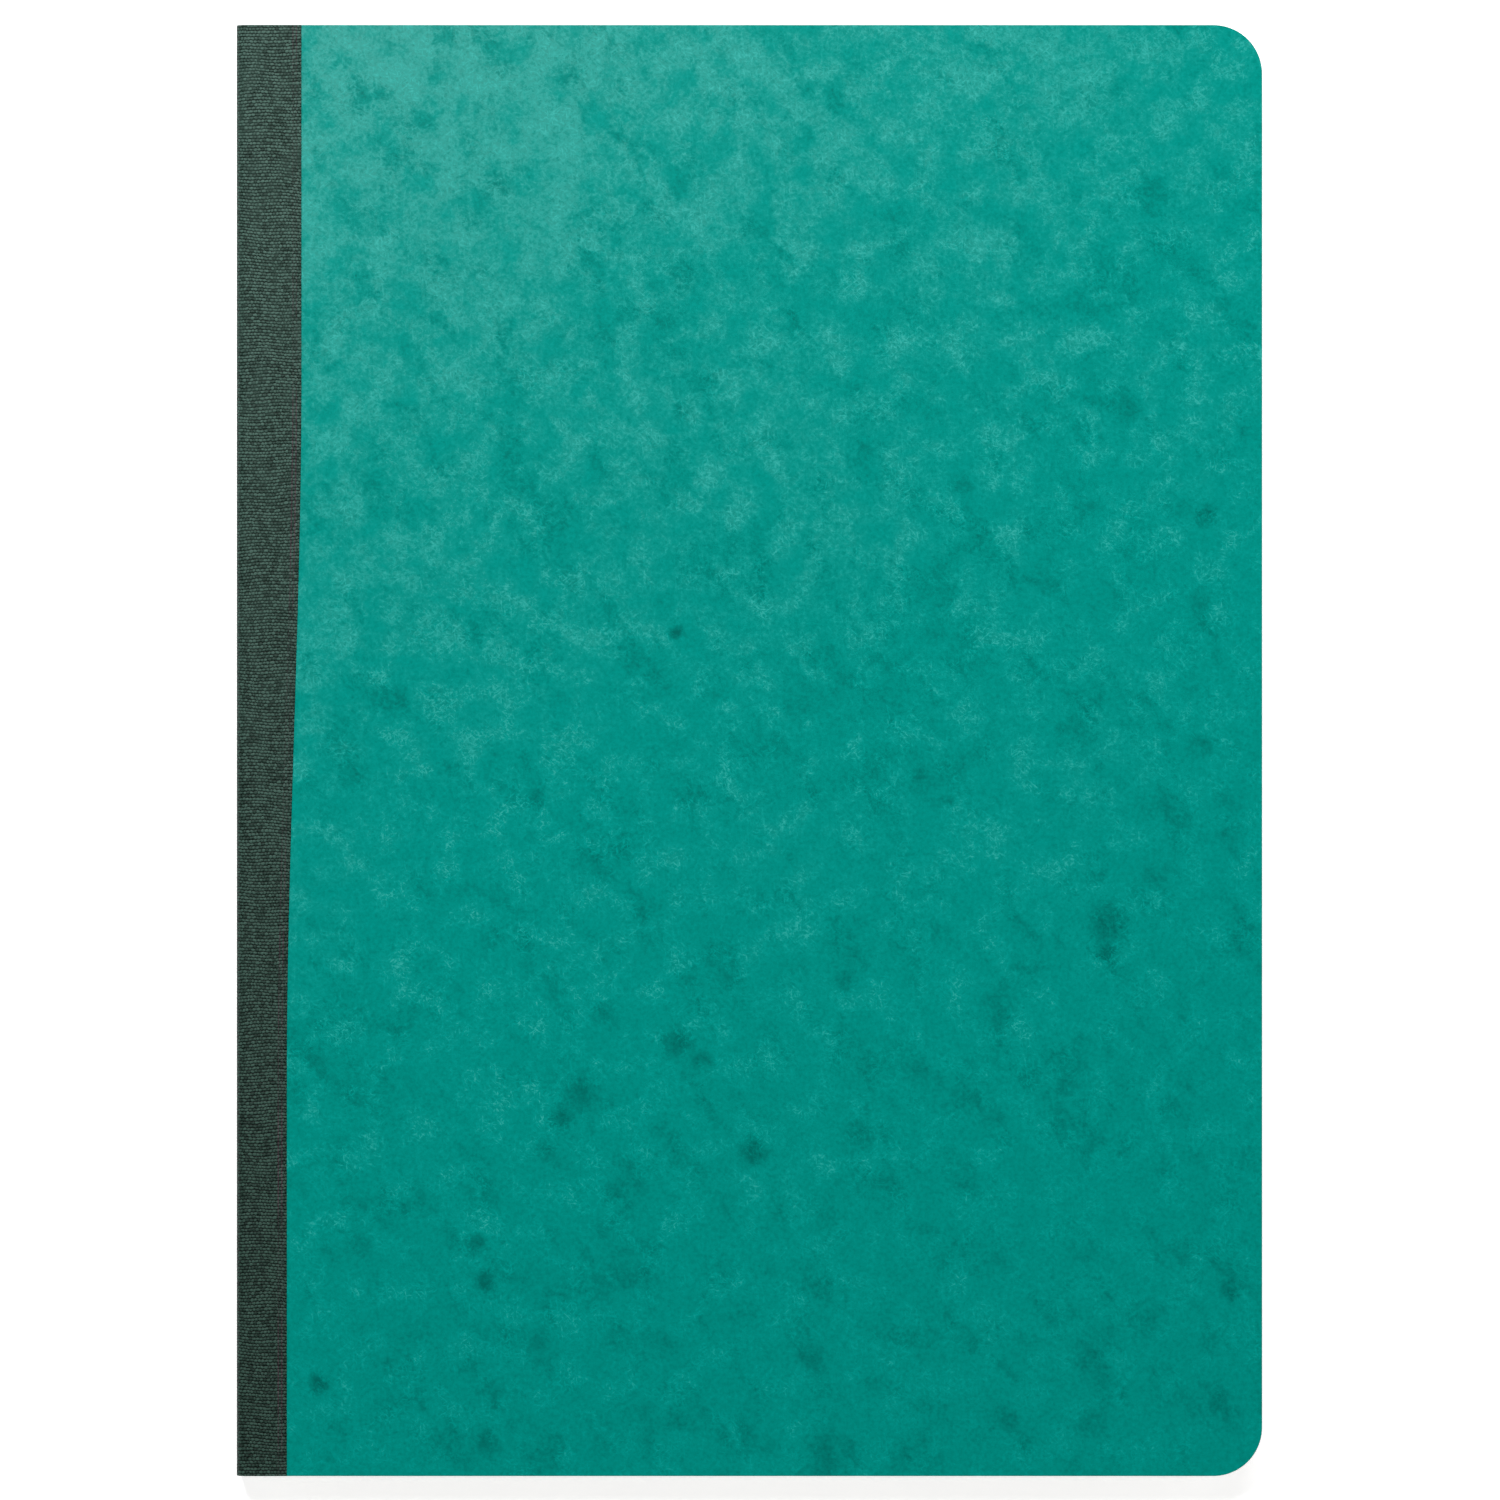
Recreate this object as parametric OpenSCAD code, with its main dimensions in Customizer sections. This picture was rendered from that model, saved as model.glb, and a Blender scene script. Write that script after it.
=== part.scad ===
// A thread-sewn notebook with flush-cut pressboard covers and a cloth spine, closed and lying on its back cover.
// X runs from the spine to the fore-edge, Y from tail to head, and Z from the back cover up to the front cover.
// The origin is the middle of the footprint, on the surface that the book lies on.

/* [Book] */
// Width of the book, from the outer face of the spine to the fore-edge
book_w = 210; // [150:1:260]
// Height of the book, from tail to head
book_h = 297; // [210:1:360]
// Radius of the two rounded corners at the fore-edge
corner_r = 10; // [4:0.5:20]

/* [Pages] */
// Number of sections sewn into the block
section_count = 6; // [4:1:10]
// Folded sheets in one section, each making two leaves
sheets_per_section = 8; // [6:1:12]
// Thickness of one leaf
leaf_t = 0.105; // [0.09:0.005:0.13]
// How far the folded back of a section stands out of the valleys beside it
fold_bulge = 0.35; // [0.2:0.05:0.45]

/* [Covers] */
// Thickness of the pressboard
board_t = 0.8; // [0.7:0.05:1.4]
// Thickness of the endpaper leaf that is pasted inside a cover
pastedown_t = 0.12; // [0.08:0.01:0.2]

/* [Cloth] */
// Thickness of the book cloth
cloth_t = 0.35; // [0.3:0.05:0.5]
// Depth that the cloth is pressed into the boards
cloth_press = 0.2; // [0.1:0.05:0.25]
// Width of cloth on the front cover near the head, from the outer face of the spine
wide_flap_w = 13.4; // [11:0.1:20]
// Width of cloth on the front cover near the tail, from the outer face of the spine
narrow_flap_w = 10.4; // [7:0.1:16]
// Length over which the cut edge of the cloth drifts from one width to the other
drift_l = 144; // [60:1:180]
// Distance of the middle of that drift from the middle of the book, towards the head
drift_y = 4; // [-15:1:15]

/* [Spine] */
// Thickness of the glue over the folded backs
glue_t = 0.5; // [0.4:0.05:0.8]
// How far the glue ends short of the front and back faces of the block
glue_margin = 0.3; // [0.15:0.05:0.6]
// Outer radius of the shoulders, where the cloth bends between the spine and the covers
shoulder_r = 2.05; // [1.8:0.05:2.6]

/* [Sewing] */
// Diameter of the sewing thread
thread_d = 0.4; // [0.3:0.05:0.45]
// How much thinner the thread is where it is squeezed through a fold
needle_squeeze = 0.04; // [0.02:0.01:0.08]
// Depth that the stitches across the spine are drawn into the folds
thread_sink = 0.1; // [0.06:0.02:0.2]
// Length of a stitch along the inside of a fold
stitch_l = 30; // [15:1:45]
// Distance from one pair of sewing holes to the next
stitch_pitch = 72; // [55:1:90]

/* [Hidden] */
$fn = 96;

// Steps in the cut edge of the cloth
drift_steps = 18;
// Extra reach of a cutting shape past the piece that it cuts
over = 1;

section_h = 2 * sheets_per_section * leaf_t;
block_h = section_count * section_h + 2 * leaf_t;
cloth_proud = cloth_t - cloth_press;
cover_h = cloth_proud + board_t + pastedown_t;
book_t = block_h + 2 * cover_h;

spine_x = -book_w / 2;
fore_x = book_w / 2;
// Crests of the folded backs, and the valleys between them
back_x = spine_x + cloth_t + glue_t;
valley_x = back_x + fold_bulge;
// The boards start where the shoulders end, and each cover turns about the middle of its shoulder's outer face
board_x = spine_x + shoulder_r;
// Radius of the round back of a section, from its height and its bulge
fold_r = (pow(section_h / 2, 2) + pow(fold_bulge, 2)) / (2 * fold_bulge);

// Stitches across the spine, and stitches along the innermost folds
chain_x = back_x + thread_sink - thread_d / 2;
run_x = back_x + sheets_per_section * leaf_t + thread_d / 2;
pair_count = floor(book_h / stitch_pitch);

function fold_z(i) = cover_h + leaf_t + (i + 0.5) * section_h;

// Share of the drift that is done at y, from 0 at the tail to 1 at the head, with soft ends
function drift_share(y) =
    let (s = max(0, min(1, (y - drift_y) / drift_l + 0.5)))
    s * s * (3 - 2 * s);

// The strip has parallel edges, so the back flap is wide where the front flap is narrow
function flap_w(y, front) =
    let (share = drift_share(y))
    narrow_flap_w + (wide_flap_w - narrow_flap_w) * (front ? share : 1 - share);

// Turns a profile drawn in X and Z into a solid as long as the book
module along_book() {
    rotate([90, 0, 0])
        linear_extrude(book_h, center = true)
            children();
}

// Turns a piece of the back cover into the same piece of the front cover
module on_front() {
    translate([0, 0, book_t])
        mirror([0, 0, 1])
            children();
}

// Outline of a leaf or board, with square corners at start_x and round ones at the fore-edge
module leaf_outline(start_x) {
    difference() {
        translate([start_x, -book_h / 2])
            square([fore_x - start_x, book_h]);
        for (tail = [0, 1])
            mirror([0, tail])
                translate([fore_x - corner_r, book_h / 2 - corner_r])
                    corner_waste();
    }
}

// What is cut away at a round corner, with the middle of its arc at the origin
module corner_waste() {
    difference() {
        square(corner_r + over);
        circle(corner_r);
    }
}

// Outline of a cloth flap, or of its recess when it reaches past the board by extra
module flap_outline(front, extra = 0) {
    end_y = book_h / 2 + extra;
    drift_points = [
        for (i = [0 : drift_steps])
            let (y = drift_y + drift_l * (i / drift_steps - 0.5))
            [spine_x + flap_w(y, front), y]
    ];
    polygon(concat(
        [[board_x - extra, -end_y], [spine_x + flap_w(-end_y, front), -end_y]],
        drift_points,
        [[spine_x + flap_w(end_y, front), end_y], [board_x - extra, end_y]]
    ));
}

// Everything inside the rounded spine, set in from the outer face of the cloth
module spine_fill(inset) {
    r = shoulder_r - inset;
    intersection() {
        union() {
            for (z = [shoulder_r, book_t - shoulder_r])
                translate([board_x, z])
                    circle(r);
            translate([spine_x + inset, shoulder_r])
                square([r, book_t - 2 * shoulder_r]);
        }
        translate([spine_x, 0])
            square([shoulder_r, book_t]);
    }
}

// Section across the block: straight leaves that end in the round backs of the sections
module block_profile() {
    translate([valley_x, cover_h])
        square([fore_x - valley_x, block_h]);
    for (i = [0 : section_count - 1])
        translate([back_x, fold_z(i)])
            folded_back();
}

// Round back of one section, with its crest at the origin
module folded_back() {
    intersection() {
        translate([fold_r, 0])
            circle(fold_r);
        translate([0, -fold_r])
            square([fold_bulge, 2 * fold_r]);
    }
}

// Every stitch: ladders across the spine, and a run along the inside of each fold
module stitches() {
    for (pair = [0 : pair_count - 1])
        translate([0, (pair - (pair_count - 1) / 2) * stitch_pitch, 0])
            stitch_pair();
}

module stitch_pair() {
    for (side = [-1, 1])
        translate([chain_x, side * stitch_l / 2, fold_z(0) - thread_d / 2])
            cylinder(d = thread_d, h = (section_count - 1) * section_h + thread_d);
    for (i = [0 : section_count - 1])
        translate([0, 0, fold_z(i)])
            section_stitch();
}

module section_stitch() {
    translate([run_x, 0, 0])
        rotate([90, 0, 0])
            cylinder(d = thread_d, h = stitch_l + thread_d, center = true);
    for (side = [-1, 1])
        translate([chain_x, side * stitch_l / 2, 0])
            rotate([0, 90, 0])
                cylinder(d = thread_d - needle_squeeze, h = run_x - chain_x);
}

module board(front) {
    difference() {
        translate([0, 0, cloth_proud])
            linear_extrude(board_t)
                leaf_outline(board_x);
        linear_extrude(cloth_t)
            flap_outline(front, over);
    }
}

module flap(front) {
    linear_extrude(cloth_t)
        flap_outline(front);
}

// The endpaper reaches past the edge of the board, to the fold that joins it to the first leaf of the block
module pastedown() {
    translate([0, 0, cloth_proud + board_t])
        linear_extrude(pastedown_t)
            leaf_outline(valley_x);
}

module page_block() {
    color("ivory")
        difference() {
            intersection() {
                along_book() block_profile();
                linear_extrude(book_t) leaf_outline(spine_x);
            }
            stitches();
        }
}

module sewing_thread() {
    color("white")
        stitches();
}

module spine_glue() {
    color("gainsboro")
        difference() {
            along_book()
                difference() {
                    intersection() {
                        spine_fill(cloth_t);
                        translate([spine_x, cover_h + glue_margin])
                            square([valley_x - spine_x, block_h - 2 * glue_margin]);
                    }
                    block_profile();
                }
            stitches();
        }
}

module spine_cloth() {
    color("darkslategray")
        along_book()
            difference() {
                spine_fill(0);
                spine_fill(cloth_t);
            }
}

module front_cover() {
    color("teal")
        on_front() board(front = true);
}

module front_cloth_flap() {
    color("darkslategray")
        on_front() flap(front = true);
}

module front_pastedown() {
    color("whitesmoke")
        on_front() pastedown();
}

module back_cover() {
    color("teal")
        board(front = false);
}

module back_cloth_flap() {
    color("darkslategray")
        flap(front = false);
}

module back_pastedown() {
    color("whitesmoke")
        pastedown();
}

page_block();
sewing_thread();
spine_glue();
spine_cloth();
front_cover();
front_cloth_flap();
front_pastedown();
back_cover();
back_cloth_flap();
back_pastedown();
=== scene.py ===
"""A thread-sewn A4 notebook with pressboard covers and a cloth spine, closed and lying on its back cover."""
import math
import random

import bpy
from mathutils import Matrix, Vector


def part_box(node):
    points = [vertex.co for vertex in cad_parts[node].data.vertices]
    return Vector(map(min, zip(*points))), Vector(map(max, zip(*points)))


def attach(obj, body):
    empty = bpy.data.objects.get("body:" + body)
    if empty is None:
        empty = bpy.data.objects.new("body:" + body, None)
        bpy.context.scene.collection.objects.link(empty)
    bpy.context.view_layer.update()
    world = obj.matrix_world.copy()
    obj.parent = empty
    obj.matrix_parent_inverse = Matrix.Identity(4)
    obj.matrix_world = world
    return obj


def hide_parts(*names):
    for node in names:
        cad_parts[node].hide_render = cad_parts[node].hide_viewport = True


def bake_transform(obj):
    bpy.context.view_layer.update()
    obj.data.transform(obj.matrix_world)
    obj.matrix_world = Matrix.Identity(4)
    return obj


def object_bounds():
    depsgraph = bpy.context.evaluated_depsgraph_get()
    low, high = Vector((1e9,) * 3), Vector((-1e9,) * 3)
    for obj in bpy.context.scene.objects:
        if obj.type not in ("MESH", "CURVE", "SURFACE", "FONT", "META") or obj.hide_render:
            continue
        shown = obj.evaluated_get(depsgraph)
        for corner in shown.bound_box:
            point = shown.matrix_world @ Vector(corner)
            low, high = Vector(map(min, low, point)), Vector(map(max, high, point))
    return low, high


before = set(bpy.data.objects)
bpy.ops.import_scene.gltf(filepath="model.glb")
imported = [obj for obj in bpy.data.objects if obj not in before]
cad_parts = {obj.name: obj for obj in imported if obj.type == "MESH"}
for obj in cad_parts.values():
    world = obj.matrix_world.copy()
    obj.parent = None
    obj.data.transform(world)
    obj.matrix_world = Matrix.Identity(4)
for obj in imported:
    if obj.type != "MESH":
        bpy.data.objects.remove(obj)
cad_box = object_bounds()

# Sizes that several pieces share
# They are read from the frame. Two fly leaves and six sections of eight folded sheets fill the height of the
# block, which gives the thickness of one leaf.
MM = 0.001
SECTION_COUNT = 6
SHEETS_PER_SECTION = 8
FOLD_BULGE = 0.35 * MM
CORNER_R = 10 * MM
SAME_PLACE = 1e-6
SEED = 3385

page_low, page_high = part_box("page_block")
board_low, board_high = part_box("front_cover")
half_h = page_high[1]
fore_x = page_high[0]
spine_x = cad_box[0][0]
crest_x = page_low[0]
valley_x = crest_x + FOLD_BULGE
book_t = cad_box[1][2] - cad_box[0][2]
leaf_t = (page_high[2] - page_low[2]) / (2 * SHEETS_PER_SECTION * SECTION_COUNT + 2)
chance = random.Random(SEED)


def smooth(share):
    """The smooth step of a share between 0 and 1."""
    return share * share * (3 - 2 * share)


def near(value, target):
    return abs(value - target) < SAME_PLACE


# Tools for meshes
# Each piece starts as a plain shape and is then cut, bevelled, folded or thickened, much as its maker would
# do it.
def deselect_all():
    bpy.ops.object.select_all(action="DESELECT")


def named_piece(name):
    """The object that was added last, under its own name."""
    piece = bpy.context.object
    piece.name = piece.data.name = name
    return piece


def resize(piece, size):
    piece.scale = size
    bpy.ops.object.transform_apply(location=True, rotation=True, scale=True)


def select_vertices(piece, wanted):
    """Selects, in edit mode, the vertices whose place passes the test."""
    bpy.ops.object.mode_set(mode="EDIT")
    bpy.ops.mesh.select_mode(type="VERT")
    bpy.ops.mesh.select_all(action="DESELECT")
    bpy.ops.object.mode_set(mode="OBJECT")
    for vertex in piece.data.vertices:
        vertex.select = wanted(vertex.co)
    bpy.ops.object.mode_set(mode="EDIT")
    bpy.ops.mesh.select_mode(type="VERT")


def extrude(offset):
    """Draws the selection out by an offset and leaves edit mode."""
    bpy.ops.mesh.extrude_region_move(TRANSFORM_OT_translate={"value": offset})
    bpy.ops.object.mode_set(mode="OBJECT")


def point_outwards(piece):
    """Makes every face look out of the piece, which is left selected and active."""
    deselect_all()
    piece.select_set(True)
    bpy.context.view_layer.objects.active = piece
    bpy.ops.object.mode_set(mode="EDIT")
    bpy.ops.mesh.select_all(action="SELECT")
    bpy.ops.mesh.normals_make_consistent(inside=False)
    bpy.ops.object.mode_set(mode="OBJECT")


def apply_modifier(piece, modifier):
    bpy.context.view_layer.objects.active = piece
    bpy.ops.object.modifier_apply(modifier=modifier.name)


def give_thickness(piece, thickness, offset=0.0):
    modifier = piece.modifiers.new("thickness", "SOLIDIFY")
    modifier.thickness = thickness
    modifier.offset = offset
    modifier.use_even_offset = True
    apply_modifier(piece, modifier)
    point_outwards(piece)


def mirror_to_back(piece):
    """Mirrors a piece made for the front. Its faces then have to be pointed outwards again."""
    for vertex in piece.data.vertices:
        vertex.co.z = book_t - vertex.co.z


def join(pieces, name):
    deselect_all()
    for piece in pieces:
        piece.select_set(True)
    bpy.context.view_layer.objects.active = pieces[0]
    bpy.ops.object.join()
    return named_piece(name)


def put_on(piece, finish):
    piece.data.materials.clear()
    piece.data.materials.append(finish)


def bend_with_cover(piece, side, on_block, on_cover):
    """Bakes the piece's place into its mesh. Both points are given for the front and are mirrored for the
    back, but neither is used."""
    if side > 0:
        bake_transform(piece)
    else:
        on_block, on_cover = [(x, y, book_t - z) for x, y, z in (on_block, on_cover)]
        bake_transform(piece)


# Tools for materials
# Patterns are made of a few kinds of node, which these functions add to a node tree. Places in a pattern are
# in millimetres.
def node(tree, kind, inputs=None, **settings):
    """Adds a shader node. Each input is a number, a colour, a vector, or a socket to link."""
    made = tree.nodes.new(kind)
    for name, value in settings.items():
        setattr(made, name, value)
    for name, value in (inputs or {}).items():
        if isinstance(value, bpy.types.NodeSocket):
            tree.links.new(value, made.inputs[name])
        else:
            made.inputs[name].default_value = value
    return made


def math_node(tree, operation, *values, clamp=False):
    inputs = dict(enumerate(values))
    return node(tree, "ShaderNodeMath", inputs, operation=operation, use_clamp=clamp).outputs[0]


def vector_node(tree, operation, first, second, output="Vector"):
    return node(tree, "ShaderNodeVectorMath", {0: first, 1: second}, operation=operation).outputs[output]


def product(tree, first, second, clamp=False):
    return math_node(tree, "MULTIPLY", first, second, clamp=clamp)


def scaled(tree, value, by, plus=0.0, clamp=False):
    return math_node(tree, "MULTIPLY_ADD", value, by, plus, clamp=clamp)


def mixed(tree, start, *terms):
    """The start plus each value times its weight."""
    for value, weight in terms:
        start = scaled(tree, value, by=weight, plus=start)
    return start


def from_middle(tree, value):
    """Where a value lies between two whole numbers, from -0.5 to 0.5."""
    return math_node(tree, "SUBTRACT", math_node(tree, "FRACT", value), 0.5)


def ramp(tree, value, low, high, to_low=0.0, to_high=1.0):
    """A smooth step from to_low to to_high as the value passes from low to high."""
    inputs = {"Value": value, "From Min": low, "From Max": high, "To Min": to_low, "To Max": to_high}
    return node(tree, "ShaderNodeMapRange", inputs, interpolation_type="SMOOTHSTEP").outputs[0]


def blended(tree, share, low, high):
    """A value or colour between low and high."""
    return node(tree, "ShaderNodeMix", {0: share, 6: low, 7: high}, data_type="RGBA").outputs[2]


def noise(tree, place, scale=1.0, detail=2, rough=0.5, distortion=0.0, output="Fac"):
    inputs = {"Vector": place, "Scale": scale, "Detail": detail, "Roughness": rough, "Distortion": distortion}
    return node(tree, "ShaderNodeTexNoise", inputs).outputs[output]


def stretched(tree, place, scale=(1, 1, 1), shift=(0, 0, 0), turn=0):
    """The place after a scale, a turn in degrees about Z, and a shift."""
    inputs = {"Vector": place, "Scale": scale, "Location": shift, "Rotation": (0, 0, math.radians(turn))}
    return node(tree, "ShaderNodeMapping", inputs).outputs[0]


def spread(tree, place, scale, detail, rough, reach):
    """A wandering offset, for a pattern whose shapes are torn and not round."""
    drift = noise(tree, place, scale, detail, rough, output="Color")
    drift = vector_node(tree, "SUBTRACT", drift, (0.5, 0.5, 0.5))
    return vector_node(tree, "MULTIPLY", drift, (reach, reach, reach))


def new_finish(name, roughness, specular):
    """A material with one principled shader."""
    finish = bpy.data.materials.new(name)
    finish.use_nodes = True
    tree = finish.node_tree
    shader = tree.nodes["Principled BSDF"]
    shader.inputs["Roughness"].default_value = roughness
    shader.inputs["Specular IOR Level"].default_value = specular
    return finish, tree, shader


def place_in_mm(tree):
    place = node(tree, "ShaderNodeTexCoord").outputs["Object"]
    return stretched(tree, place, (1 / MM, 1 / MM, 1 / MM))


def set_colour(tree, shader, colour):
    tree.links.new(colour, shader.inputs["Base Color"])


def rough_surface(tree, shader, height, depth):
    """Bump from a height of 0 to 1 that stands for a depth in millimetres."""
    bump = node(tree, "ShaderNodeBump", {"Height": height, "Distance": depth * MM, "Strength": 1.0})
    tree.links.new(bump.outputs[0], shader.inputs["Normal"])


# Sections of the book block
# Six sections of eight folded sheets of ivory writing paper, one inside the other. The folds are sewn, the
# stack is pressed, and the head, tail and fore-edge are trimmed flush together with the covers.
LEAF_CORNER_STEPS = 10
EDGE_REACH = 0.2 * MM
UNEVEN_TRIM = 0.05 * MM
OUTER_FOLD_STEPS = 8
INNER_FOLD_STEPS = 4
PAPER_SHARE = 0.92
IVORY = (0.86, 0.83, 0.75, 1)
IVORY_SHADE = (0.81, 0.78, 0.69, 1)
IVORY_EDGE = (0.62, 0.58, 0.49, 1)
section_h = 2 * SHEETS_PER_SECTION * leaf_t
fold_r = ((section_h / 2) ** 2 + FOLD_BULGE ** 2) / (2 * FOLD_BULGE)
paper_t = PAPER_SHARE * leaf_t


def round_fore_corners(piece, z):
    """Rounds the two corners of a leaf at the fore-edge, as the corner-rounding knife does."""
    select_vertices(piece, lambda co: co.x > fore_x - EDGE_REACH and near(co.z, z))
    bpy.ops.mesh.bevel(offset=CORNER_R, segments=LEAF_CORNER_STEPS, affect="VERTICES")
    bpy.ops.object.mode_set(mode="OBJECT")


def folded_paper(name, fold_x, axis, half_gap, half_y, trim, steps, thickness):
    """A sheet folded once round an axis along Y, which is given by its x and z. One leaf lies half a gap
    below the axis and the other half a gap above it. The spin goes from the lower leaf over the spine side to
    the upper."""
    axis_x, axis_z = axis
    low_z = axis_z - half_gap
    width = fore_x + trim - fold_x
    deselect_all()
    bpy.ops.mesh.primitive_plane_add(size=1, location=(fold_x + width / 2, 0, low_z))
    sheet = named_piece(name)
    resize(sheet, (width, 2 * half_y, 1))
    round_fore_corners(sheet, low_z)
    rise = 2 * math.asin(half_gap / math.hypot(axis_x - fold_x, half_gap))
    select_vertices(sheet, lambda co: near(co.x, fold_x))
    bpy.ops.mesh.spin(steps=steps, angle=-rise, center=(axis_x, 0, axis_z), axis=(0, 1, 0))
    extrude((width, 0, 0))
    round_fore_corners(sheet, axis_z + half_gap)
    give_thickness(sheet, thickness)
    return sheet


def section_sheet(depth, middle_z):
    """One sheet of a section. Depth 0 is the outermost, and the trim leaves each edge a hair uneven."""
    radius = fold_r - (depth + 0.5) * leaf_t
    half_gap = (SHEETS_PER_SECTION - depth - 0.5) * leaf_t
    axis_x = crest_x + fold_r
    fold_x = axis_x - math.sqrt(radius ** 2 - half_gap ** 2)
    trim = chance.uniform(-UNEVEN_TRIM, 0)
    half_y = half_h + chance.uniform(-UNEVEN_TRIM, 0)
    steps = OUTER_FOLD_STEPS if depth < SHEETS_PER_SECTION / 2 else INNER_FOLD_STEPS
    return folded_paper("sheet", fold_x, (axis_x, middle_z), half_gap, half_y, trim, steps, paper_t)


def paper_finish(name, colour, shade, edge_shade):
    """Uncoated paper: faint clouds and fibres on its faces, streaks of single leaves along its cut edges."""
    finish, tree, shader = new_finish(name, roughness=0.78, specular=0.25)
    in_mm = place_in_mm(tree)
    clouds = noise(tree, in_mm, scale=0.35, detail=4, rough=0.6)
    fibres = noise(tree, stretched(tree, in_mm, (1.2, 3.1, 3.1)), scale=1.4, detail=3, rough=0.7)
    grain = mixed(tree, 0.0, (clouds, 0.6), (fibres, 0.4))
    faces = blended(tree, ramp(tree, grain, 0.3, 0.7), shade, colour)
    leaves = noise(tree, stretched(tree, in_mm, (0.05, 0.05, MM / leaf_t)), detail=2, rough=0.7)
    streaks = blended(tree, ramp(tree, leaves, 0.3, 0.68), edge_shade, colour)
    normal = node(tree, "ShaderNodeNewGeometry").outputs["Normal"]
    upright = math_node(tree, "ABSOLUTE", node(tree, "ShaderNodeSeparateXYZ", {0: normal}).outputs["Z"])
    set_colour(tree, shader, blended(tree, ramp(tree, upright, 0.3, 0.8), streaks, faces))
    rough_surface(tree, shader, fibres, depth=0.012)
    return finish


page_paper = paper_finish("page_paper", IVORY, IVORY_SHADE, IVORY_EDGE)
put_on(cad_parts["page_block"], page_paper)
for number in range(SECTION_COUNT):
    fold_z = page_low[2] + leaf_t + (number + 0.5) * section_h
    sheets = [section_sheet(depth, fold_z) for depth in range(SHEETS_PER_SECTION)]
    section = join(sheets, f"section_{number + 1}")
    put_on(section, page_paper)
    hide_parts("page_block")
    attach(section, "block")

# Sewing thread
# White cotton thread, twisted and waxed. It runs along the inside of each fold and links one section to the
# next across the spine, before the glue goes on.
TWIST_PER_MM = 1.6
TWIST_SLANT = 2.4
THREAD_SHADE = (0.60, 0.57, 0.49, 1)
THREAD_WHITE = (0.88, 0.86, 0.80, 1)


def thread_finish():
    finish, tree, shader = new_finish("cotton_thread", roughness=0.62, specular=0.3)
    in_mm = place_in_mm(tree)
    axes = node(tree, "ShaderNodeSeparateXYZ", {0: in_mm}).outputs
    along = math_node(tree, "ADD", axes["Z"], axes["Y"])
    turns = product(tree, scaled(tree, axes["X"], by=TWIST_SLANT, plus=along), TWIST_PER_MM * 2 * math.pi)
    strands = scaled(tree, math_node(tree, "SINE", turns), by=0.5, plus=0.5)
    fluff = noise(tree, in_mm, scale=9.0, detail=4, rough=0.7)
    set_colour(tree, shader, blended(tree, product(tree, strands, fluff), THREAD_SHADE, THREAD_WHITE))
    rough_surface(tree, shader, strands, depth=0.04)
    return finish


put_on(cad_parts["sewing_thread"], thread_finish())

# Spine glue
# White bookbinding glue, brushed over the folds and rolled in. It dries cloudy, a little glossy and slightly
# yellow.
GLUE_YELLOW = (0.66, 0.61, 0.47, 1)
GLUE_PALE = (0.80, 0.77, 0.67, 1)
GLUE_STREAK = (0.86, 0.84, 0.76, 1)


def glue_finish():
    finish, tree, shader = new_finish("dried_glue", roughness=0.36, specular=0.5)
    in_mm = place_in_mm(tree)
    brush_marks = stretched(tree, in_mm, (1.0, 0.12, 1.0))
    brushed = noise(tree, brush_marks, scale=1.6, detail=4, rough=0.6, distortion=0.4)
    cloudy = noise(tree, in_mm, scale=0.5, detail=3, rough=0.55)
    tint = blended(tree, ramp(tree, cloudy, 0.35, 0.7), GLUE_YELLOW, GLUE_PALE)
    set_colour(tree, shader, blended(tree, product(tree, brushed, 0.4), tint, GLUE_STREAK))
    tree.links.new(ramp(tree, brushed, 0.3, 0.7, 0.28, 0.5), shader.inputs["Roughness"])
    rough_surface(tree, shader, brushed, depth=0.06)
    return finish


put_on(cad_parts["spine_glue"], glue_finish())

# Endpapers
# A folded sheet at each end of the block. One leaf lies free on the block, and the other is pasted inside
# the cover, so the fold between them is what joins the block to the cover on the inside.
ENDPAPER_T = 0.1 * MM
ENDPAPER_FOLD_STEPS = 12
ENDPAPER_WHITE = (0.77, 0.75, 0.68, 1)
ENDPAPER_SHADE = (0.72, 0.70, 0.63, 1)
ENDPAPER_EDGE = (0.64, 0.61, 0.54, 1)
endpaper = paper_finish("endpaper", ENDPAPER_WHITE, ENDPAPER_SHADE, ENDPAPER_EDGE)
pastedown_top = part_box("front_pastedown")[1][2]
fly_z = page_high[2] - leaf_t / 2
pasted_z = pastedown_top - ENDPAPER_T / 2


def folded_endpaper(name, side, pastedown_node):
    """Side is 1 at the front and -1 at the back, where the same sheet is mirrored."""
    axis = (valley_x, (fly_z + pasted_z) / 2)
    half_gap = (pasted_z - fly_z) / 2
    piece = folded_paper(name, valley_x, axis, half_gap, half_h, 0, ENDPAPER_FOLD_STEPS, ENDPAPER_T)
    if side < 0:
        mirror_to_back(piece)
        point_outwards(piece)
    put_on(piece, endpaper)
    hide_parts(pastedown_node, "page_block")
    put_on(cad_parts[pastedown_node], endpaper)
    fly_face = (valley_x, 0, fly_z + ENDPAPER_T / 2)
    pasted_face = (valley_x, 0, pasted_z - ENDPAPER_T / 2)
    bend_with_cover(piece, side, fly_face, pasted_face)


folded_endpaper("front_endpaper", 1, "front_pastedown")
folded_endpaper("back_endpaper", -1, "back_pastedown")

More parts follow.
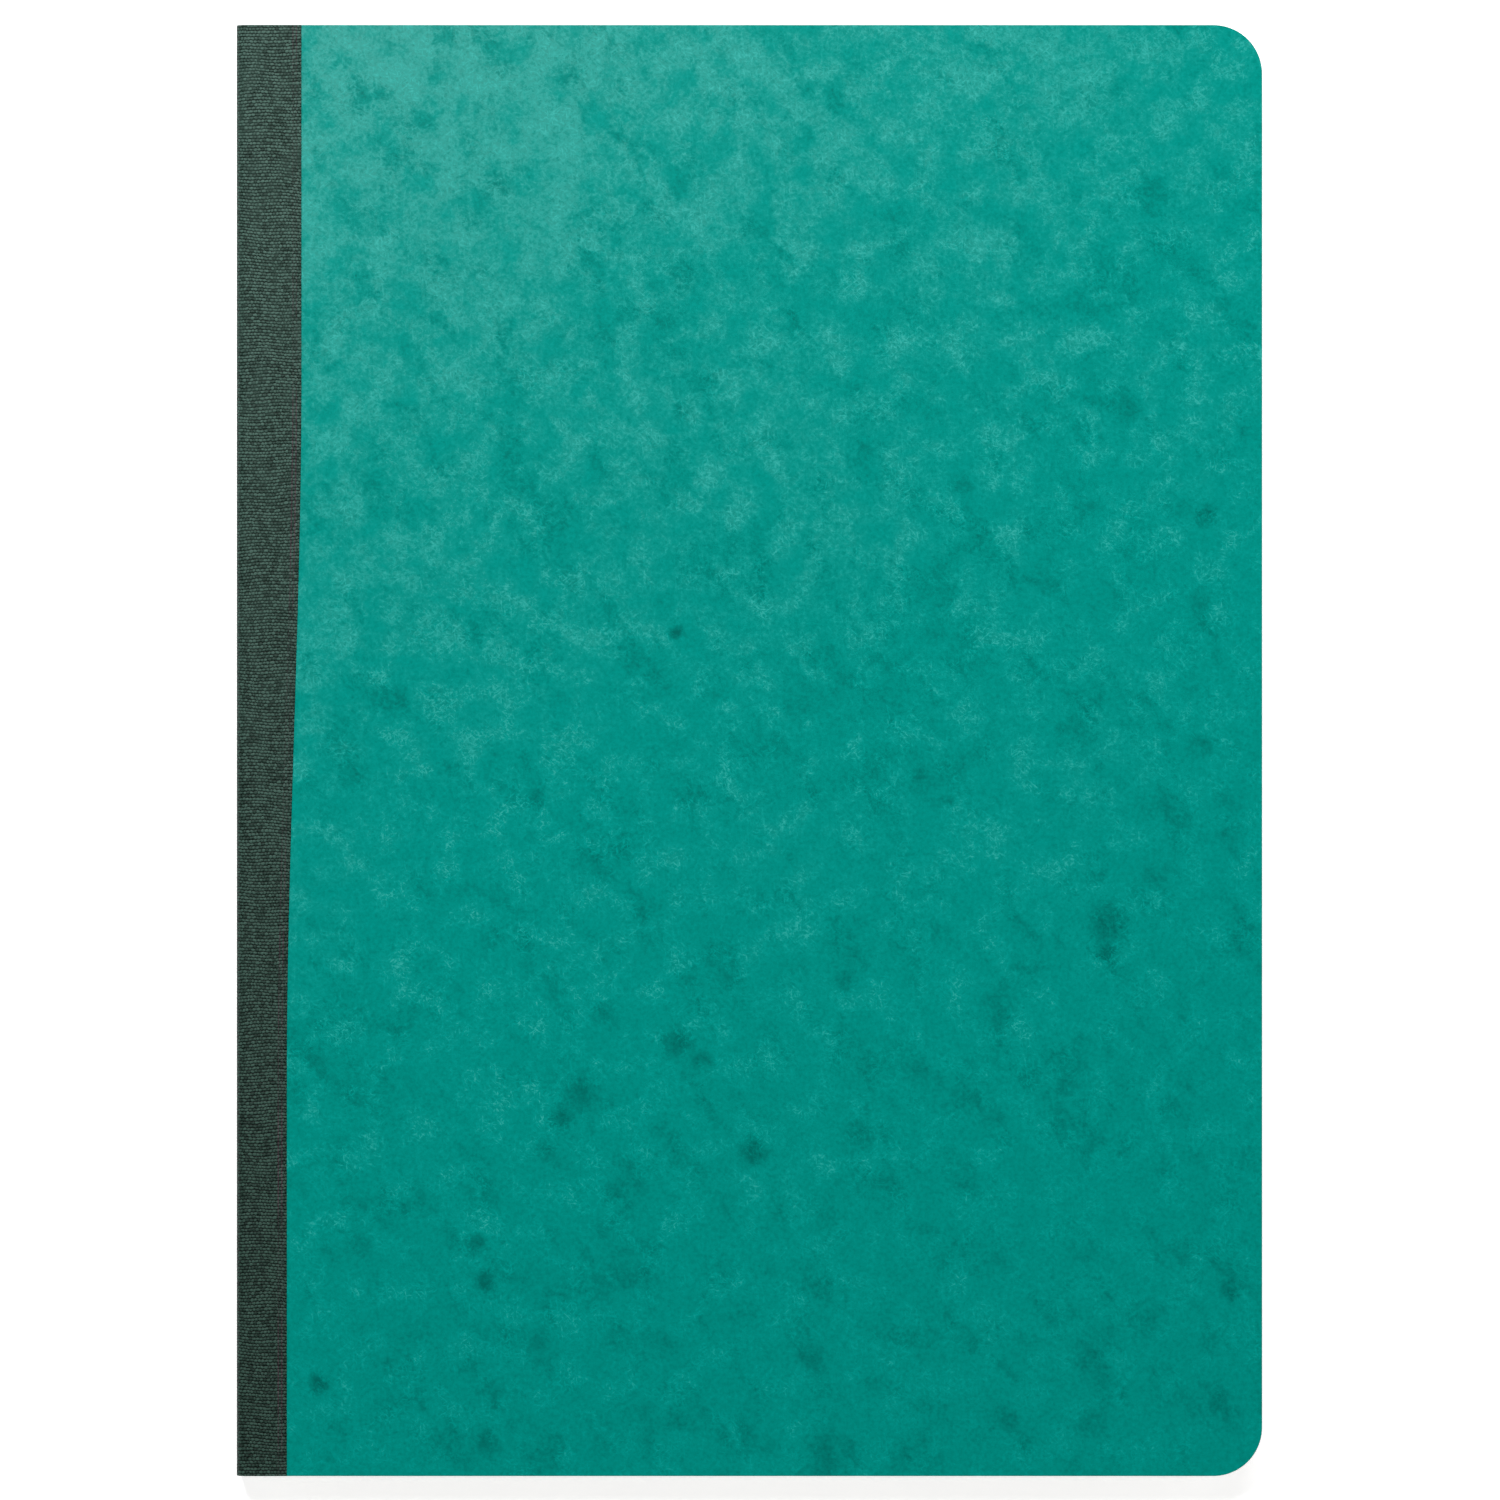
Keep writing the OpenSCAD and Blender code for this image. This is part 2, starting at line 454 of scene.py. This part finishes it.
# Boards
# Teal pressboard, dyed through, with pale fibres felted into clouds and a few dark flecks, calendered smooth
# and lacquered. Each board is cut with the block and has a shallow step where the cloth is pressed into it.
BOARD_CORNER_STEPS = 24
CUT_EDGE_R = 0.09 * MM
CUT_EDGE_STEPS = 3
SMOOTH_BOARD_ANGLE = math.radians(35)
LEVEL = 0.999
STRIP_PRESS = 0.2 * MM
WIDE_FLAP = 13.4 * MM
NARROW_FLAP = 10.4 * MM
DRIFT_LENGTH = 144 * MM
DRIFT_Y = 4 * MM
DRIFT_STEPS = 60
CUTTER_OVER = 1 * MM
LACQUER_SMOOTH = 0.15
LACQUER_DULL = 0.40
TO_HEAD_LEFT = (-0.58, 0.88, 0)
# How far the painted sheen and the extra pale fibres reach from the middle towards the left of the head, in
# millimetres.
SHEEN_SIDE_REACH = 190
STROKE_TURNS = ((6, (11, 5, 0)), (-38, (3, 17, 0)), (41, (23, 9, 0)), (83, (7, 31, 0)))
STROKE_SHAPE = (0.65, 2.4, 1)
FLECK_CORE = 0.15
FLECK_RIM = 1.15
DARKEST_TEAL = (0.0, 0.140, 0.116, 1)
MIDDLE_TEALS = ((0.4, (0.0, 0.262, 0.217, 1)), (0.7, (0.0, 0.326, 0.278, 1)))
PALEST_TEAL = (0.020, 0.395, 0.345, 1)


def flap_width(y, side):
    """Width of cloth on a cover. The strip's edges are parallel, so one flap widens as the other narrows."""
    share = smooth(min(1, max(0, (y - DRIFT_Y) / DRIFT_LENGTH + 0.5)))
    if side < 0:
        share = 1 - share
    return NARROW_FLAP + (WIDE_FLAP - NARROW_FLAP) * share


def step_cutter(side):
    """The block that presses the step into the board. It is open to the spine and reaches past the board."""
    deselect_all()
    bpy.ops.mesh.primitive_grid_add(x_subdivisions=1, y_subdivisions=DRIFT_STEPS, size=1)
    cutter = bpy.context.object
    for vertex in cutter.data.vertices:
        y = vertex.co.y * 2 * (half_h + CUTTER_OVER)
        x = spine_x + flap_width(y, side) if vertex.co.x > 0 else board_low[0] - CUTTER_OVER
        vertex.co = (x, y, board_high[2] - STRIP_PRESS)
    select_vertices(cutter, lambda co: True)
    extrude((0, 0, CUTTER_OVER))
    point_outwards(cutter)
    return cutter


def board_blank(name):
    """The die-cut board: two round corners at the fore-edge, and every cut edge a little softened."""
    deselect_all()
    middle = [(low + high) / 2 for low, high in zip(board_low, board_high)]
    bpy.ops.mesh.primitive_cube_add(size=1, location=middle)
    piece = named_piece(name)
    resize(piece, [high - low for low, high in zip(board_low, board_high)])
    for end_y in (-half_h, half_h):
        select_vertices(piece, lambda co: near(co.x, fore_x) and near(co.y, end_y))
        bpy.ops.mesh.bevel(offset=CORNER_R, segments=BOARD_CORNER_STEPS, affect="EDGES")
    bpy.ops.object.mode_set(mode="OBJECT")
    for face_z in (board_low[2], board_high[2]):
        select_vertices(piece, lambda co: near(co.z, face_z))
        bpy.ops.mesh.bevel(offset=CUT_EDGE_R, segments=CUT_EDGE_STEPS, affect="EDGES")
    bpy.ops.object.mode_set(mode="OBJECT")
    return piece


def board(name, side, cover_node, finish):
    """Side is 1 at the front and -1 at the back, where the same board is mirrored."""
    piece = board_blank(name)
    cutter = step_cutter(side)
    modifier = piece.modifiers.new("step", "BOOLEAN")
    modifier.object = cutter
    modifier.operation = "DIFFERENCE"
    modifier.solver = "EXACT"
    apply_modifier(piece, modifier)
    bpy.data.objects.remove(cutter)
    if side < 0:
        mirror_to_back(piece)
    point_outwards(piece)
    bpy.ops.object.shade_smooth_by_angle(angle=SMOOTH_BOARD_ANGLE)
    for face in piece.data.polygons:
        if abs(face.normal.z) > LEVEL:
            face.use_smooth = False
    put_on(piece, finish)
    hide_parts(cover_node)
    put_on(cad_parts[cover_node], finish)
    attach(piece, "front" if side > 0 else "back")


def felt_strokes(tree, place):
    """Short pale fibres, about a millimetre and a half long, that lie in four directions."""
    strokes = 0.0
    for turn, shift in STROKE_TURNS:
        laid = stretched(tree, stretched(tree, place, shift=shift, turn=turn), STROKE_SHAPE)
        one_way = ramp(tree, noise(tree, laid, detail=2, rough=0.7), 0.44, 0.80)
        strokes = math_node(tree, "MAXIMUM", strokes, one_way)
    return strokes


def with_flecks(tree, in_mm, shade, flecks):
    """Adds dark flecks with torn rims. A fleck is its x, y and radius in millimetres, and its strength."""
    drift = spread(tree, in_mm, scale=0.3, detail=2, rough=0.5, reach=3.2)
    torn = vector_node(tree, "MULTIPLY", vector_node(tree, "ADD", in_mm, drift), (1, 1, 0))
    for x, y, radius, strength in flecks:
        distance = vector_node(tree, "DISTANCE", torn, (x, y, 0), output="Value")
        spot = ramp(tree, distance, radius * FLECK_CORE, radius * FLECK_RIM, strength, 0.0)
        shade = math_node(tree, "MAXIMUM", shade, spot)
    return shade


def dyed_teal(tree, tone):
    """The dye, from its darkest flecks at 0 to its palest fibres at 1."""
    dye = node(tree, "ShaderNodeValToRGB", {0: tone})
    stops = dye.color_ramp.elements
    stops[0].color = DARKEST_TEAL
    stops[1].color = PALEST_TEAL
    for position, colour in MIDDLE_TEALS:
        stops.new(position).color = colour
    return dye.outputs[0]


def pressboard_finish(name, shift, flecks):
    """Pale fibres stand up through the lacquer, so that they are rougher than the dyed ground and catch more
    of the lamp. Towards the left of the head there are more of them, and the colour there is also painted
    lighter as painted sheen from the high lamp."""
    finish, tree, shader = new_finish(name, roughness=0.3, specular=0.23)
    in_mm = place_in_mm(tree)
    place = stretched(tree, in_mm, shift=shift)
    drift = spread(tree, place, scale=0.14, detail=3, rough=0.6, reach=5.0)
    wandering = vector_node(tree, "ADD", place, drift)
    upwards = vector_node(tree, "DOT_PRODUCT", in_mm, TO_HEAD_LEFT, output="Value")
    # 1 towards the left of the head, where the board has more pale fibres and rougher lacquer, and its colour
    # is painted lighter as sheen.
    fibre_and_sheen_side = ramp(tree, upwards, -SHEEN_SIDE_REACH, SHEEN_SIDE_REACH)
    strokes = felt_strokes(tree, place)
    grain = noise(tree, place, scale=1.2, detail=4, rough=0.7)
    clouds = noise(tree, wandering, scale=0.15, detail=5, rough=0.55)
    broad = noise(tree, place, scale=0.022, detail=2, rough=0.5)

    cover = mixed(tree, -0.19, (clouds, 1.0), (broad, 0.3), (fibre_and_sheen_side, 0.20), (strokes, 0.08), (grain, 0.30))
    cover = ramp(tree, cover, 0.50, 1.07)
    pale = product(tree, cover, mixed(tree, 0.25, (strokes, 0.2), (grain, 0.9)), clamp=True)
    felt = product(tree, strokes, mixed(tree, 0.12, (fibre_and_sheen_side, 0.22), (cover, 0.42)))
    felt = product(tree, felt, scaled(tree, fibre_and_sheen_side, by=0.4, plus=0.8))
    # The pale patches lighten the colour more towards the head-left, as painted sheen.
    lift = scaled(tree, fibre_and_sheen_side, by=0.03, plus=0.05)
    tufts = product(tree, ramp(tree, strokes, 0.2, 0.85), ramp(tree, clouds, 0.42, 0.70))
    halfway = product(tree, fibre_and_sheen_side, math_node(tree, "SUBTRACT", 1.0, fibre_and_sheen_side))
    showing = math_node(tree, "ADD", halfway, 0.21)
    tone = mixed(tree, 0.06, (felt, 0.40), (grain, 0.66), (pale, lift), (tufts, showing))

    slanting = stretched(tree, wandering, shift=(60, 40, 0), turn=-35)
    shade = noise(tree, stretched(tree, slanting, (1.3, 0.8, 1)), scale=0.12, detail=6, rough=0.62)
    shade = product(tree, ramp(tree, shade, 0.47, 0.74), 0.66)
    shade = with_flecks(tree, in_mm, shade, flecks)
    set_colour(tree, shader, dyed_teal(tree, scaled(tree, shade, by=-0.36, plus=tone, clamp=True)))

    standing = scaled(tree, shade, by=-0.6, plus=pale, clamp=True)
    standing = product(tree, standing, scaled(tree, fibre_and_sheen_side, by=0.35, plus=0.65))
    dullness = ramp(tree, standing, 0.0, 1.0, LACQUER_SMOOTH, LACQUER_DULL)
    tree.links.new(dullness, shader.inputs["Roughness"])
    rough_surface(tree, shader, grain, depth=0.007)
    return finish


FRONT_FLECKS = [
    (-15.2, 24.2, 2.2, 1.3), (0.8, -81.8, 3.9, 1.05), (73.6, -35.6, 6.0, 0.9), (73.2, -41.2, 3.2, 1.2),
    (-43.8, -10.2, 3.0, 0.8), (-56.0, -101.2, 3.0, 0.8), (-54.2, -108.6, 3.2, 1.1), (-88.2, -129.4, 2.7, 1.2),
    (-34.5, -70.0, 5.2, 0.8), (-38.5, -75.0, 3.5, 0.9), (93.4, 48.0, 3.0, 0.9), (35.0, -5.0, 2.7, 0.7),
    (98.5, -110.6, 3.2, 0.9), (-56.4, 24.0, 3.2, 0.6), (-22.0, -33.6, 3.0, 0.7), (-14.6, -59.6, 4.3, 0.95),
    (-9.8, -63.4, 3.2, 0.7), (22.6, -78.4, 4.3, 0.6), (-53.6, -141.4, 3.5, 0.8), (-27.4, -90.4, 3.2, 0.6),
    (-41.4, -81.6, 3.0, 0.6), (19.4, -47.2, 3.2, 0.6), (57.4, -66.8, 3.8, 0.6), (43.0, 54.4, 3.2, 0.5),
    (31.0, 102.8, 4.1, 0.5), (-9.4, 75.6, 3.8, 0.5), (-75.2, 134.6, 2.7, 0.5), (-66.8, 128.2, 3.0, 0.5),
    (-80.0, -101.2, 3.8, 0.5), (39.0, 37.0, 3.2, 0.5),
]
BACK_SHIFT = (310, 190, 0)
board("front_board", 1, "front_cover", pressboard_finish("front_pressboard", (0, 0, 0), FRONT_FLECKS))
board("back_board", -1, "back_cover", pressboard_finish("back_pressboard", BACK_SHIFT, []))

# Cloth spine strip
# One strip of starched plain-weave book cloth, cut with parallel edges and glued round the spine on to both
# covers. It went on slightly askew and eased straight in the middle. It is made as two halves that meet
# along the middle of the spine, one for each cover.
CLOTH_T = 0.35 * MM
ROW_PITCH = 0.652 * MM
ROW_DEPTH = 0.035 * MM
POINTS_PER_ROW = 4
BEAD_PITCH = 0.76 * MM
SHOULDER_R = board_low[0] - spine_x
HINGE_REACH = 0.45 * MM
SPINE_STEPS = 3
SHOULDER_STEPS = 10
FLAP_STEPS = 8
COLUMNS = SPINE_STEPS + SHOULDER_STEPS + FLAP_STEPS + 1
ROWS = round(2 * half_h / ROW_PITCH * POINTS_PER_ROW)
EDGE_ROUND = 0.12 * MM
EDGE_SINK = 0.7 * EDGE_ROUND
FRAY = 0.1 * MM
SMOOTH_CLOTH_ANGLE = math.radians(50)
PULL_SLANT = 0.032
PULL_LENGTH = 118 * MM
PULL_START = 2.2
PULL_MIDDLE = 12 * MM
WAVE = 0.14 * MM
WAVE_ACROSS = 11 * MM
WAVE_ALONG = 47 * MM
RIPPLE = 0.07 * MM
RIPPLE_ACROSS = 3 * MM
RIPPLE_ALONG = 19 * MM
FLUSH_END = 8 * MM
# How far the painted light towards the head reaches from the middle, in millimetres.
HEAD_LIGHT_REACH = 150
RED_PITCH = 0.7
STARCH_AND_SHEEN_GREY = (0.42, 0.42, 0.42, 1)
# Near-black painted shade for the gaps between the threads, a little less dark at the head.
TAIL_GAP_SHADE = (0.000, 0.002, 0.001, 1)
HEAD_GAP_SHADE = (0.002, 0.008, 0.005, 1)
RED_GAP_SHADE = (0.026, 0.012, 0.018, 1)
# Thread colours painted darker at the tail and lighter at the head, as painted light from the lamps beyond
# the head.
SHADED_TAIL_THREAD = (0.044, 0.092, 0.072, 1)
LIT_HEAD_THREAD = (0.074, 0.141, 0.116, 1)
RED_THREAD = (0.098, 0.064, 0.080, 1)
spine_half = book_t / 2 - SHOULDER_R
shoulder_length = SHOULDER_R * math.pi / 2


def across_strip(column, y, side):
    """Distance from the middle of the spine, along the face of the cloth, of one column of the strip."""
    if column <= SPINE_STEPS:
        return spine_half * column / SPINE_STEPS
    if column <= SPINE_STEPS + SHOULDER_STEPS:
        return spine_half + shoulder_length * (column - SPINE_STEPS) / SHOULDER_STEPS
    start = spine_half + shoulder_length
    flap = flap_width(y, side) - SHOULDER_R
    if column == COLUMNS:
        return start + flap
    return start + (flap - EDGE_ROUND) * (column - SPINE_STEPS - SHOULDER_STEPS) / FLAP_STEPS


def on_strip(distance, y, sunk):
    """The point of the front half at that distance, sunk below the outer face of the cloth."""
    if distance <= spine_half:
        return (spine_x + sunk, y, book_t / 2 + distance)
    if distance <= spine_half + shoulder_length:
        angle = (distance - spine_half) / SHOULDER_R
        radius = SHOULDER_R - sunk
        return (board_low[0] - radius * math.cos(angle), y, book_t - SHOULDER_R + radius * math.sin(angle))
    return (board_low[0] + distance - spine_half - shoulder_length, y, book_t - sunk)


def bow(distance, y):
    """How far a weft row wanders along the strip, since the cloth was pulled a little unevenly as it was
    rubbed down. It fades out at the head and tail, where the rows were cut flush."""
    turn = 2 * math.pi
    slant = PULL_SLANT * (distance - PULL_MIDDLE) * math.sin(turn * y / PULL_LENGTH + PULL_START)
    wave = WAVE * math.sin(turn * (distance / WAVE_ACROSS + y / WAVE_ALONG))
    ripple = RIPPLE * math.sin(turn * y / RIPPLE_ALONG + distance / RIPPLE_ACROSS)
    return (slant + wave + ripple) * smooth(min(1, (half_h - abs(y)) / FLUSH_END))


def lay_round_spine(piece, side):
    """Lays a grid round the spine. Each point keeps its place on the flat strip, for the weave, and its
    distance from the cut edge of the flap, for the redder threads."""
    weave = piece.data.uv_layers.new(name="weave")
    to_edge = piece.data.attributes.new("to_edge", "FLOAT", "POINT")
    laid_out = []
    frayed = [chance.uniform(-FRAY, 0) for row in range(ROWS + 1)]
    for vertex in piece.data.vertices:
        column = round((vertex.co.x + 0.5) * COLUMNS)
        row_y = vertex.co.y * 2 * half_h
        edge = across_strip(COLUMNS, row_y, side)
        distance = across_strip(column, row_y, side)
        sunk = ROW_DEPTH * (0.5 + 0.5 * math.cos(2 * math.pi * row_y / ROW_PITCH))
        if column == COLUMNS:
            sunk += EDGE_SINK
            distance += frayed[round((vertex.co.y + 0.5) * ROWS)]
        x, y, z = on_strip(distance, row_y - bow(distance, row_y), sunk)
        vertex.co = (x, y, z if side > 0 else book_t - z)
        to_edge.data[vertex.index].value = (edge - distance) / MM
        laid_out.append((side * distance / MM, row_y / MM))
    for loop in piece.data.loops:
        weave.data[loop.index].uv = laid_out[loop.vertex_index]


def face_away_from_book(piece, side):
    """Turns the faces of the open sheet away from the book, before it gets its thickness."""
    flap = max(piece.data.polygons, key=lambda face: face.center.x)
    if flap.normal.z * side < 0:
        piece.data.flip_normals()


def cloth_half(name, side, replaced, finish):
    """Side is 1 for the half on the front cover and -1 for the half on the back cover."""
    deselect_all()
    bpy.ops.mesh.primitive_grid_add(x_subdivisions=COLUMNS, y_subdivisions=ROWS, size=1)
    piece = named_piece(name)
    lay_round_spine(piece, side)
    face_away_from_book(piece, side)
    give_thickness(piece, CLOTH_T - ROW_DEPTH, offset=-1.0)
    bpy.ops.object.shade_smooth_by_angle(angle=SMOOTH_CLOTH_ANGLE)
    put_on(piece, finish)
    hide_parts(*replaced)
    for cad_node in replaced:
        put_on(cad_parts[cad_node], finish)
    hinge_z = book_t - SHOULDER_R * (1 - math.sqrt(0.5))
    hinge_x = spine_x + SHOULDER_R * (1 - math.sqrt(0.5))
    reach = HINGE_REACH * math.sqrt(0.5)
    bend_with_cover(piece, side, (hinge_x - reach, 0, hinge_z - reach), (hinge_x + reach, 0, hinge_z + reach))


def white_noise(tree, inputs, dimensions):
    return node(tree, "ShaderNodeTexWhiteNoise", inputs, noise_dimensions=dimensions).outputs["Value"]


def squared_share(tree, value, whole):
    return math_node(tree, "POWER", math_node(tree, "DIVIDE", value, whole), 2.0)


def woven_beads(tree, place, axes):
    """Rows of rounded beads with low gaps between them, which the cloth finish paints dark as shade. Returns
    the height of the cloth, and a chance for each bead. Every second row is half a bead further along, and
    both the rows and the beads wander."""
    uneven = noise(tree, stretched(tree, place, (0.8, 1.2, 1)), detail=3, rough=0.65)
    row_place = math_node(tree, "DIVIDE", axes["Y"], ROW_PITCH / MM)
    row_place = mixed(tree, -0.45, (row_place, 1.0), (uneven, 0.9))
    row = math_node(tree, "FLOOR", row_place)
    odd = math_node(tree, "ABSOLUTE", math_node(tree, "MODULO", row, 2.0))
    row_chance = white_noise(tree, {"W": row}, "1D")
    warp_wave = noise(tree, stretched(tree, place, (0.25, 0.12, 1), (7, 3, 0)), detail=3, rough=0.6)
    bead_place = math_node(tree, "DIVIDE", axes["X"], BEAD_PITCH / MM)
    bead_place = mixed(tree, bead_place, (odd, 0.5), (row_chance, 0.22), (warp_wave, 2.4))
    cell = node(tree, "ShaderNodeCombineXYZ", {"X": math_node(tree, "FLOOR", bead_place), "Y": row})
    bead_chance = white_noise(tree, {"Vector": cell.outputs[0]}, "2D")
    across = squared_share(tree, from_middle(tree, row_place), 0.5)
    along = squared_share(tree, from_middle(tree, bead_place), 0.55)
    bead = ramp(tree, math_node(tree, "ADD", across, along), 0.0, 1.15, 1.0, 0.0)
    slub = noise(tree, stretched(tree, place, (0.16, 1.4, 1), (5, 9, 0)), detail=2, rough=0.6)
    thread = ramp(tree, across, 0.0, scaled(tree, slub, by=1.2, plus=0.2), 1.0, 0.0)
    return mixed(tree, 0.0, (thread, 0.25), (bead, 0.75)), bead_chance


def red_strands(tree, place):
    """The share of redder dye, in a few warp threads near the cut edge of a flap."""
    to_edge = node(tree, "ShaderNodeAttribute", attribute_name="to_edge").outputs["Fac"]
    pitches = math_node(tree, "DIVIDE", math_node(tree, "SUBTRACT", to_edge, RED_PITCH), RED_PITCH)
    strand = math_node(tree, "ABSOLUTE", from_middle(tree, pitches))
    band = product(tree, ramp(tree, to_edge, 0.6, 0.8), ramp(tree, to_edge, 1.9, 2.2, 1.0, 0.0))
    patchy = noise(tree, stretched(tree, place, (0.02, 0.03, 1), (2, 0, 0)), detail=3, rough=0.6)
    red = product(tree, band, ramp(tree, strand, 0.08, 0.3, 1.0, 0.0))
    return product(tree, red, ramp(tree, patchy, 0.42, 0.6, 0.15, 0.75))


def cloth_finish():
    """Plain weave, starched and dyed, with fine hairs. Threads are pale on top, and the gaps between them are
    painted nearly black as shade. Starched patches grey the cloth, and towards the head it is painted lighter
    and greyer as painted light and sheen from the lamps beyond the head."""
    finish, tree, shader = new_finish("book_cloth", roughness=0.45, specular=0.08)
    place = node(tree, "ShaderNodeUVMap", uv_map="weave").outputs[0]
    axes = node(tree, "ShaderNodeSeparateXYZ", {0: place}).outputs
    # Painted light: 0 at the tail and 1 at the head, where the cloth is painted lighter and greyer.
    lit_towards_head = ramp(tree, axes["Y"], -HEAD_LIGHT_REACH, HEAD_LIGHT_REACH)
    height, bead_chance = woven_beads(tree, place, axes)
    hairs = noise(tree, stretched(tree, place, (2.6, 2.9, 1)), detail=3, rough=0.75)
    light = product(tree, height, scaled(tree, bead_chance, by=1.1, plus=0.4))
    light = product(tree, light, scaled(tree, hairs, by=2.6, plus=-0.25))
    light = math_node(tree, "MAXIMUM", mixed(tree, -0.24, (hairs, 0.5), (light, 0.95)), 0.0)
    # Starched patches grey the cloth a little everywhere, and more towards the head as painted sheen.
    starch_and_sheen = noise(tree, stretched(tree, place, (0.25, 0.12, 1), (1, 4, 0)), detail=3, rough=0.6)
    starch_and_sheen = product(tree, ramp(tree, starch_and_sheen, 0.42, 0.72), scaled(tree, lit_towards_head, by=0.45, plus=0.1))
    light = blended(tree, starch_and_sheen, light, STARCH_AND_SHEEN_GREY)
    red = red_strands(tree, place)
    # Between the threads the cloth is painted nearly black as shade.
    gap_shade = blended(tree, red, blended(tree, lit_towards_head, TAIL_GAP_SHADE, HEAD_GAP_SHADE), RED_GAP_SHADE)
    thread_colour_and_light = blended(tree, red, blended(tree, lit_towards_head, SHADED_TAIL_THREAD, LIT_HEAD_THREAD), RED_THREAD)
    set_colour(tree, shader, blended(tree, light, gap_shade, thread_colour_and_light))
    rough_surface(tree, shader, height, depth=0.07)
    return finish


book_cloth = cloth_finish()
cloth_half("front_cloth", 1, ["front_cloth_flap", "spine_cloth"], book_cloth)
cloth_half("back_cloth", -1, ["back_cloth_flap", "spine_cloth"], book_cloth)

# Table, lamps and camera
# A white table top that glows whiter away from the book, a small high lamp and a large one beyond the head,
# three low lamps at the other sides, and a camera that looks straight down from far above, as the book was
# photographed.
TABLE_SIDE = 12
TABLE_DARK = (0.79, 0.79, 0.79, 1)
TABLE_PALE = (0.81, 0.81, 0.81, 1)
GLOW_NEAR, GLOW_FAR = 0.72, 1.1
GLOW_START, GLOW_END = 500.0, 1600.0
ROOM_LIGHT = 0.02
WHITE = (1, 1, 1, 1)
PICTURE_SIDE = 0.30695
PICTURE_MIDDLE = (0.00018, 0.0001)
LENS = 200
SENSOR = 36
FARTHEST = 50


def white_table():
    """The glow is seen by the camera and in reflections, but lights nothing, so that the shadow stays."""
    deselect_all()
    bpy.ops.mesh.primitive_plane_add(size=TABLE_SIDE, location=(0, 0, 0))
    table = named_piece("table_top")
    finish, tree, shader = new_finish("table_paint", roughness=0.9, specular=0.1)
    in_mm = place_in_mm(tree)
    speckle = noise(tree, in_mm, scale=0.02, detail=3, rough=0.5)
    set_colour(tree, shader, blended(tree, speckle, TABLE_DARK, TABLE_PALE))
    rays = node(tree, "ShaderNodeLightPath").outputs
    seen = math_node(tree, "MAXIMUM", rays["Is Camera Ray"], rays["Is Glossy Ray"])
    from_book = vector_node(tree, "DISTANCE", in_mm, (0, 0, 0), output="Value")
    glow = ramp(tree, from_book, GLOW_START, GLOW_END, GLOW_NEAR, GLOW_FAR)
    shader.inputs["Emission Color"].default_value = WHITE
    tree.links.new(product(tree, seen, glow), shader.inputs["Emission Strength"])
    put_on(table, finish)


def soft_lamp(name, place, size, power, glossy=True):
    """A lamp that faces the book. One that is not glossy leaves no glare on the lacquer."""
    lamp = bpy.data.lights.new(name, "AREA")
    lamp.shape = "RECTANGLE"
    lamp.size, lamp.size_y = size
    lamp.energy = power
    holder = bpy.data.objects.new(name, lamp)
    bpy.context.scene.collection.objects.link(holder)
    holder.location = place
    x, y, z = place
    holder.rotation_euler = (math.atan2(math.hypot(x, y), z), 0, math.atan2(x, -y))
    holder.visible_glossy = glossy


def white_room():
    """The camera sees white beyond the table, and the book gets only a trace of light from there."""
    world = bpy.data.worlds.new("room")
    world.use_nodes = True
    tree = world.node_tree
    backdrop = tree.nodes["Background"].inputs
    backdrop["Color"].default_value = WHITE
    seen = node(tree, "ShaderNodeLightPath").outputs["Is Camera Ray"]
    tree.links.new(scaled(tree, seen, by=GLOW_FAR, plus=ROOM_LIGHT), backdrop["Strength"])
    bpy.context.scene.world = world


def camera_above():
    camera = bpy.data.cameras.new("camera")
    camera.lens = LENS
    camera.sensor_width = SENSOR
    camera.clip_end = FARTHEST
    viewpoint = bpy.data.objects.new("camera", camera)
    bpy.context.scene.collection.objects.link(viewpoint)
    viewpoint.location = (*PICTURE_MIDDLE, cad_box[1][2] + PICTURE_SIDE * LENS / SENSOR)
    bpy.context.scene.camera = viewpoint


white_table()
soft_lamp("high_lamp", (-0.25, 0.53, 1.3), (0.22, 0.22), 9)
soft_lamp("head_lamp", (0.02, 0.75, 0.75), (0.9, 0.4), 7.8)
soft_lamp("left_lamp", (-1.2, 0.1, 0.35), (0.7, 0.3), 2.5, glossy=False)
soft_lamp("right_lamp", (1.2, 0.1, 0.35), (0.7, 0.3), 3.5, glossy=False)
soft_lamp("tail_lamp", (0.1, -1.3, 0.22), (1.0, 0.3), 5.5, glossy=False)
white_room()
camera_above()
bpy.context.scene.view_settings.view_transform = "Standard"
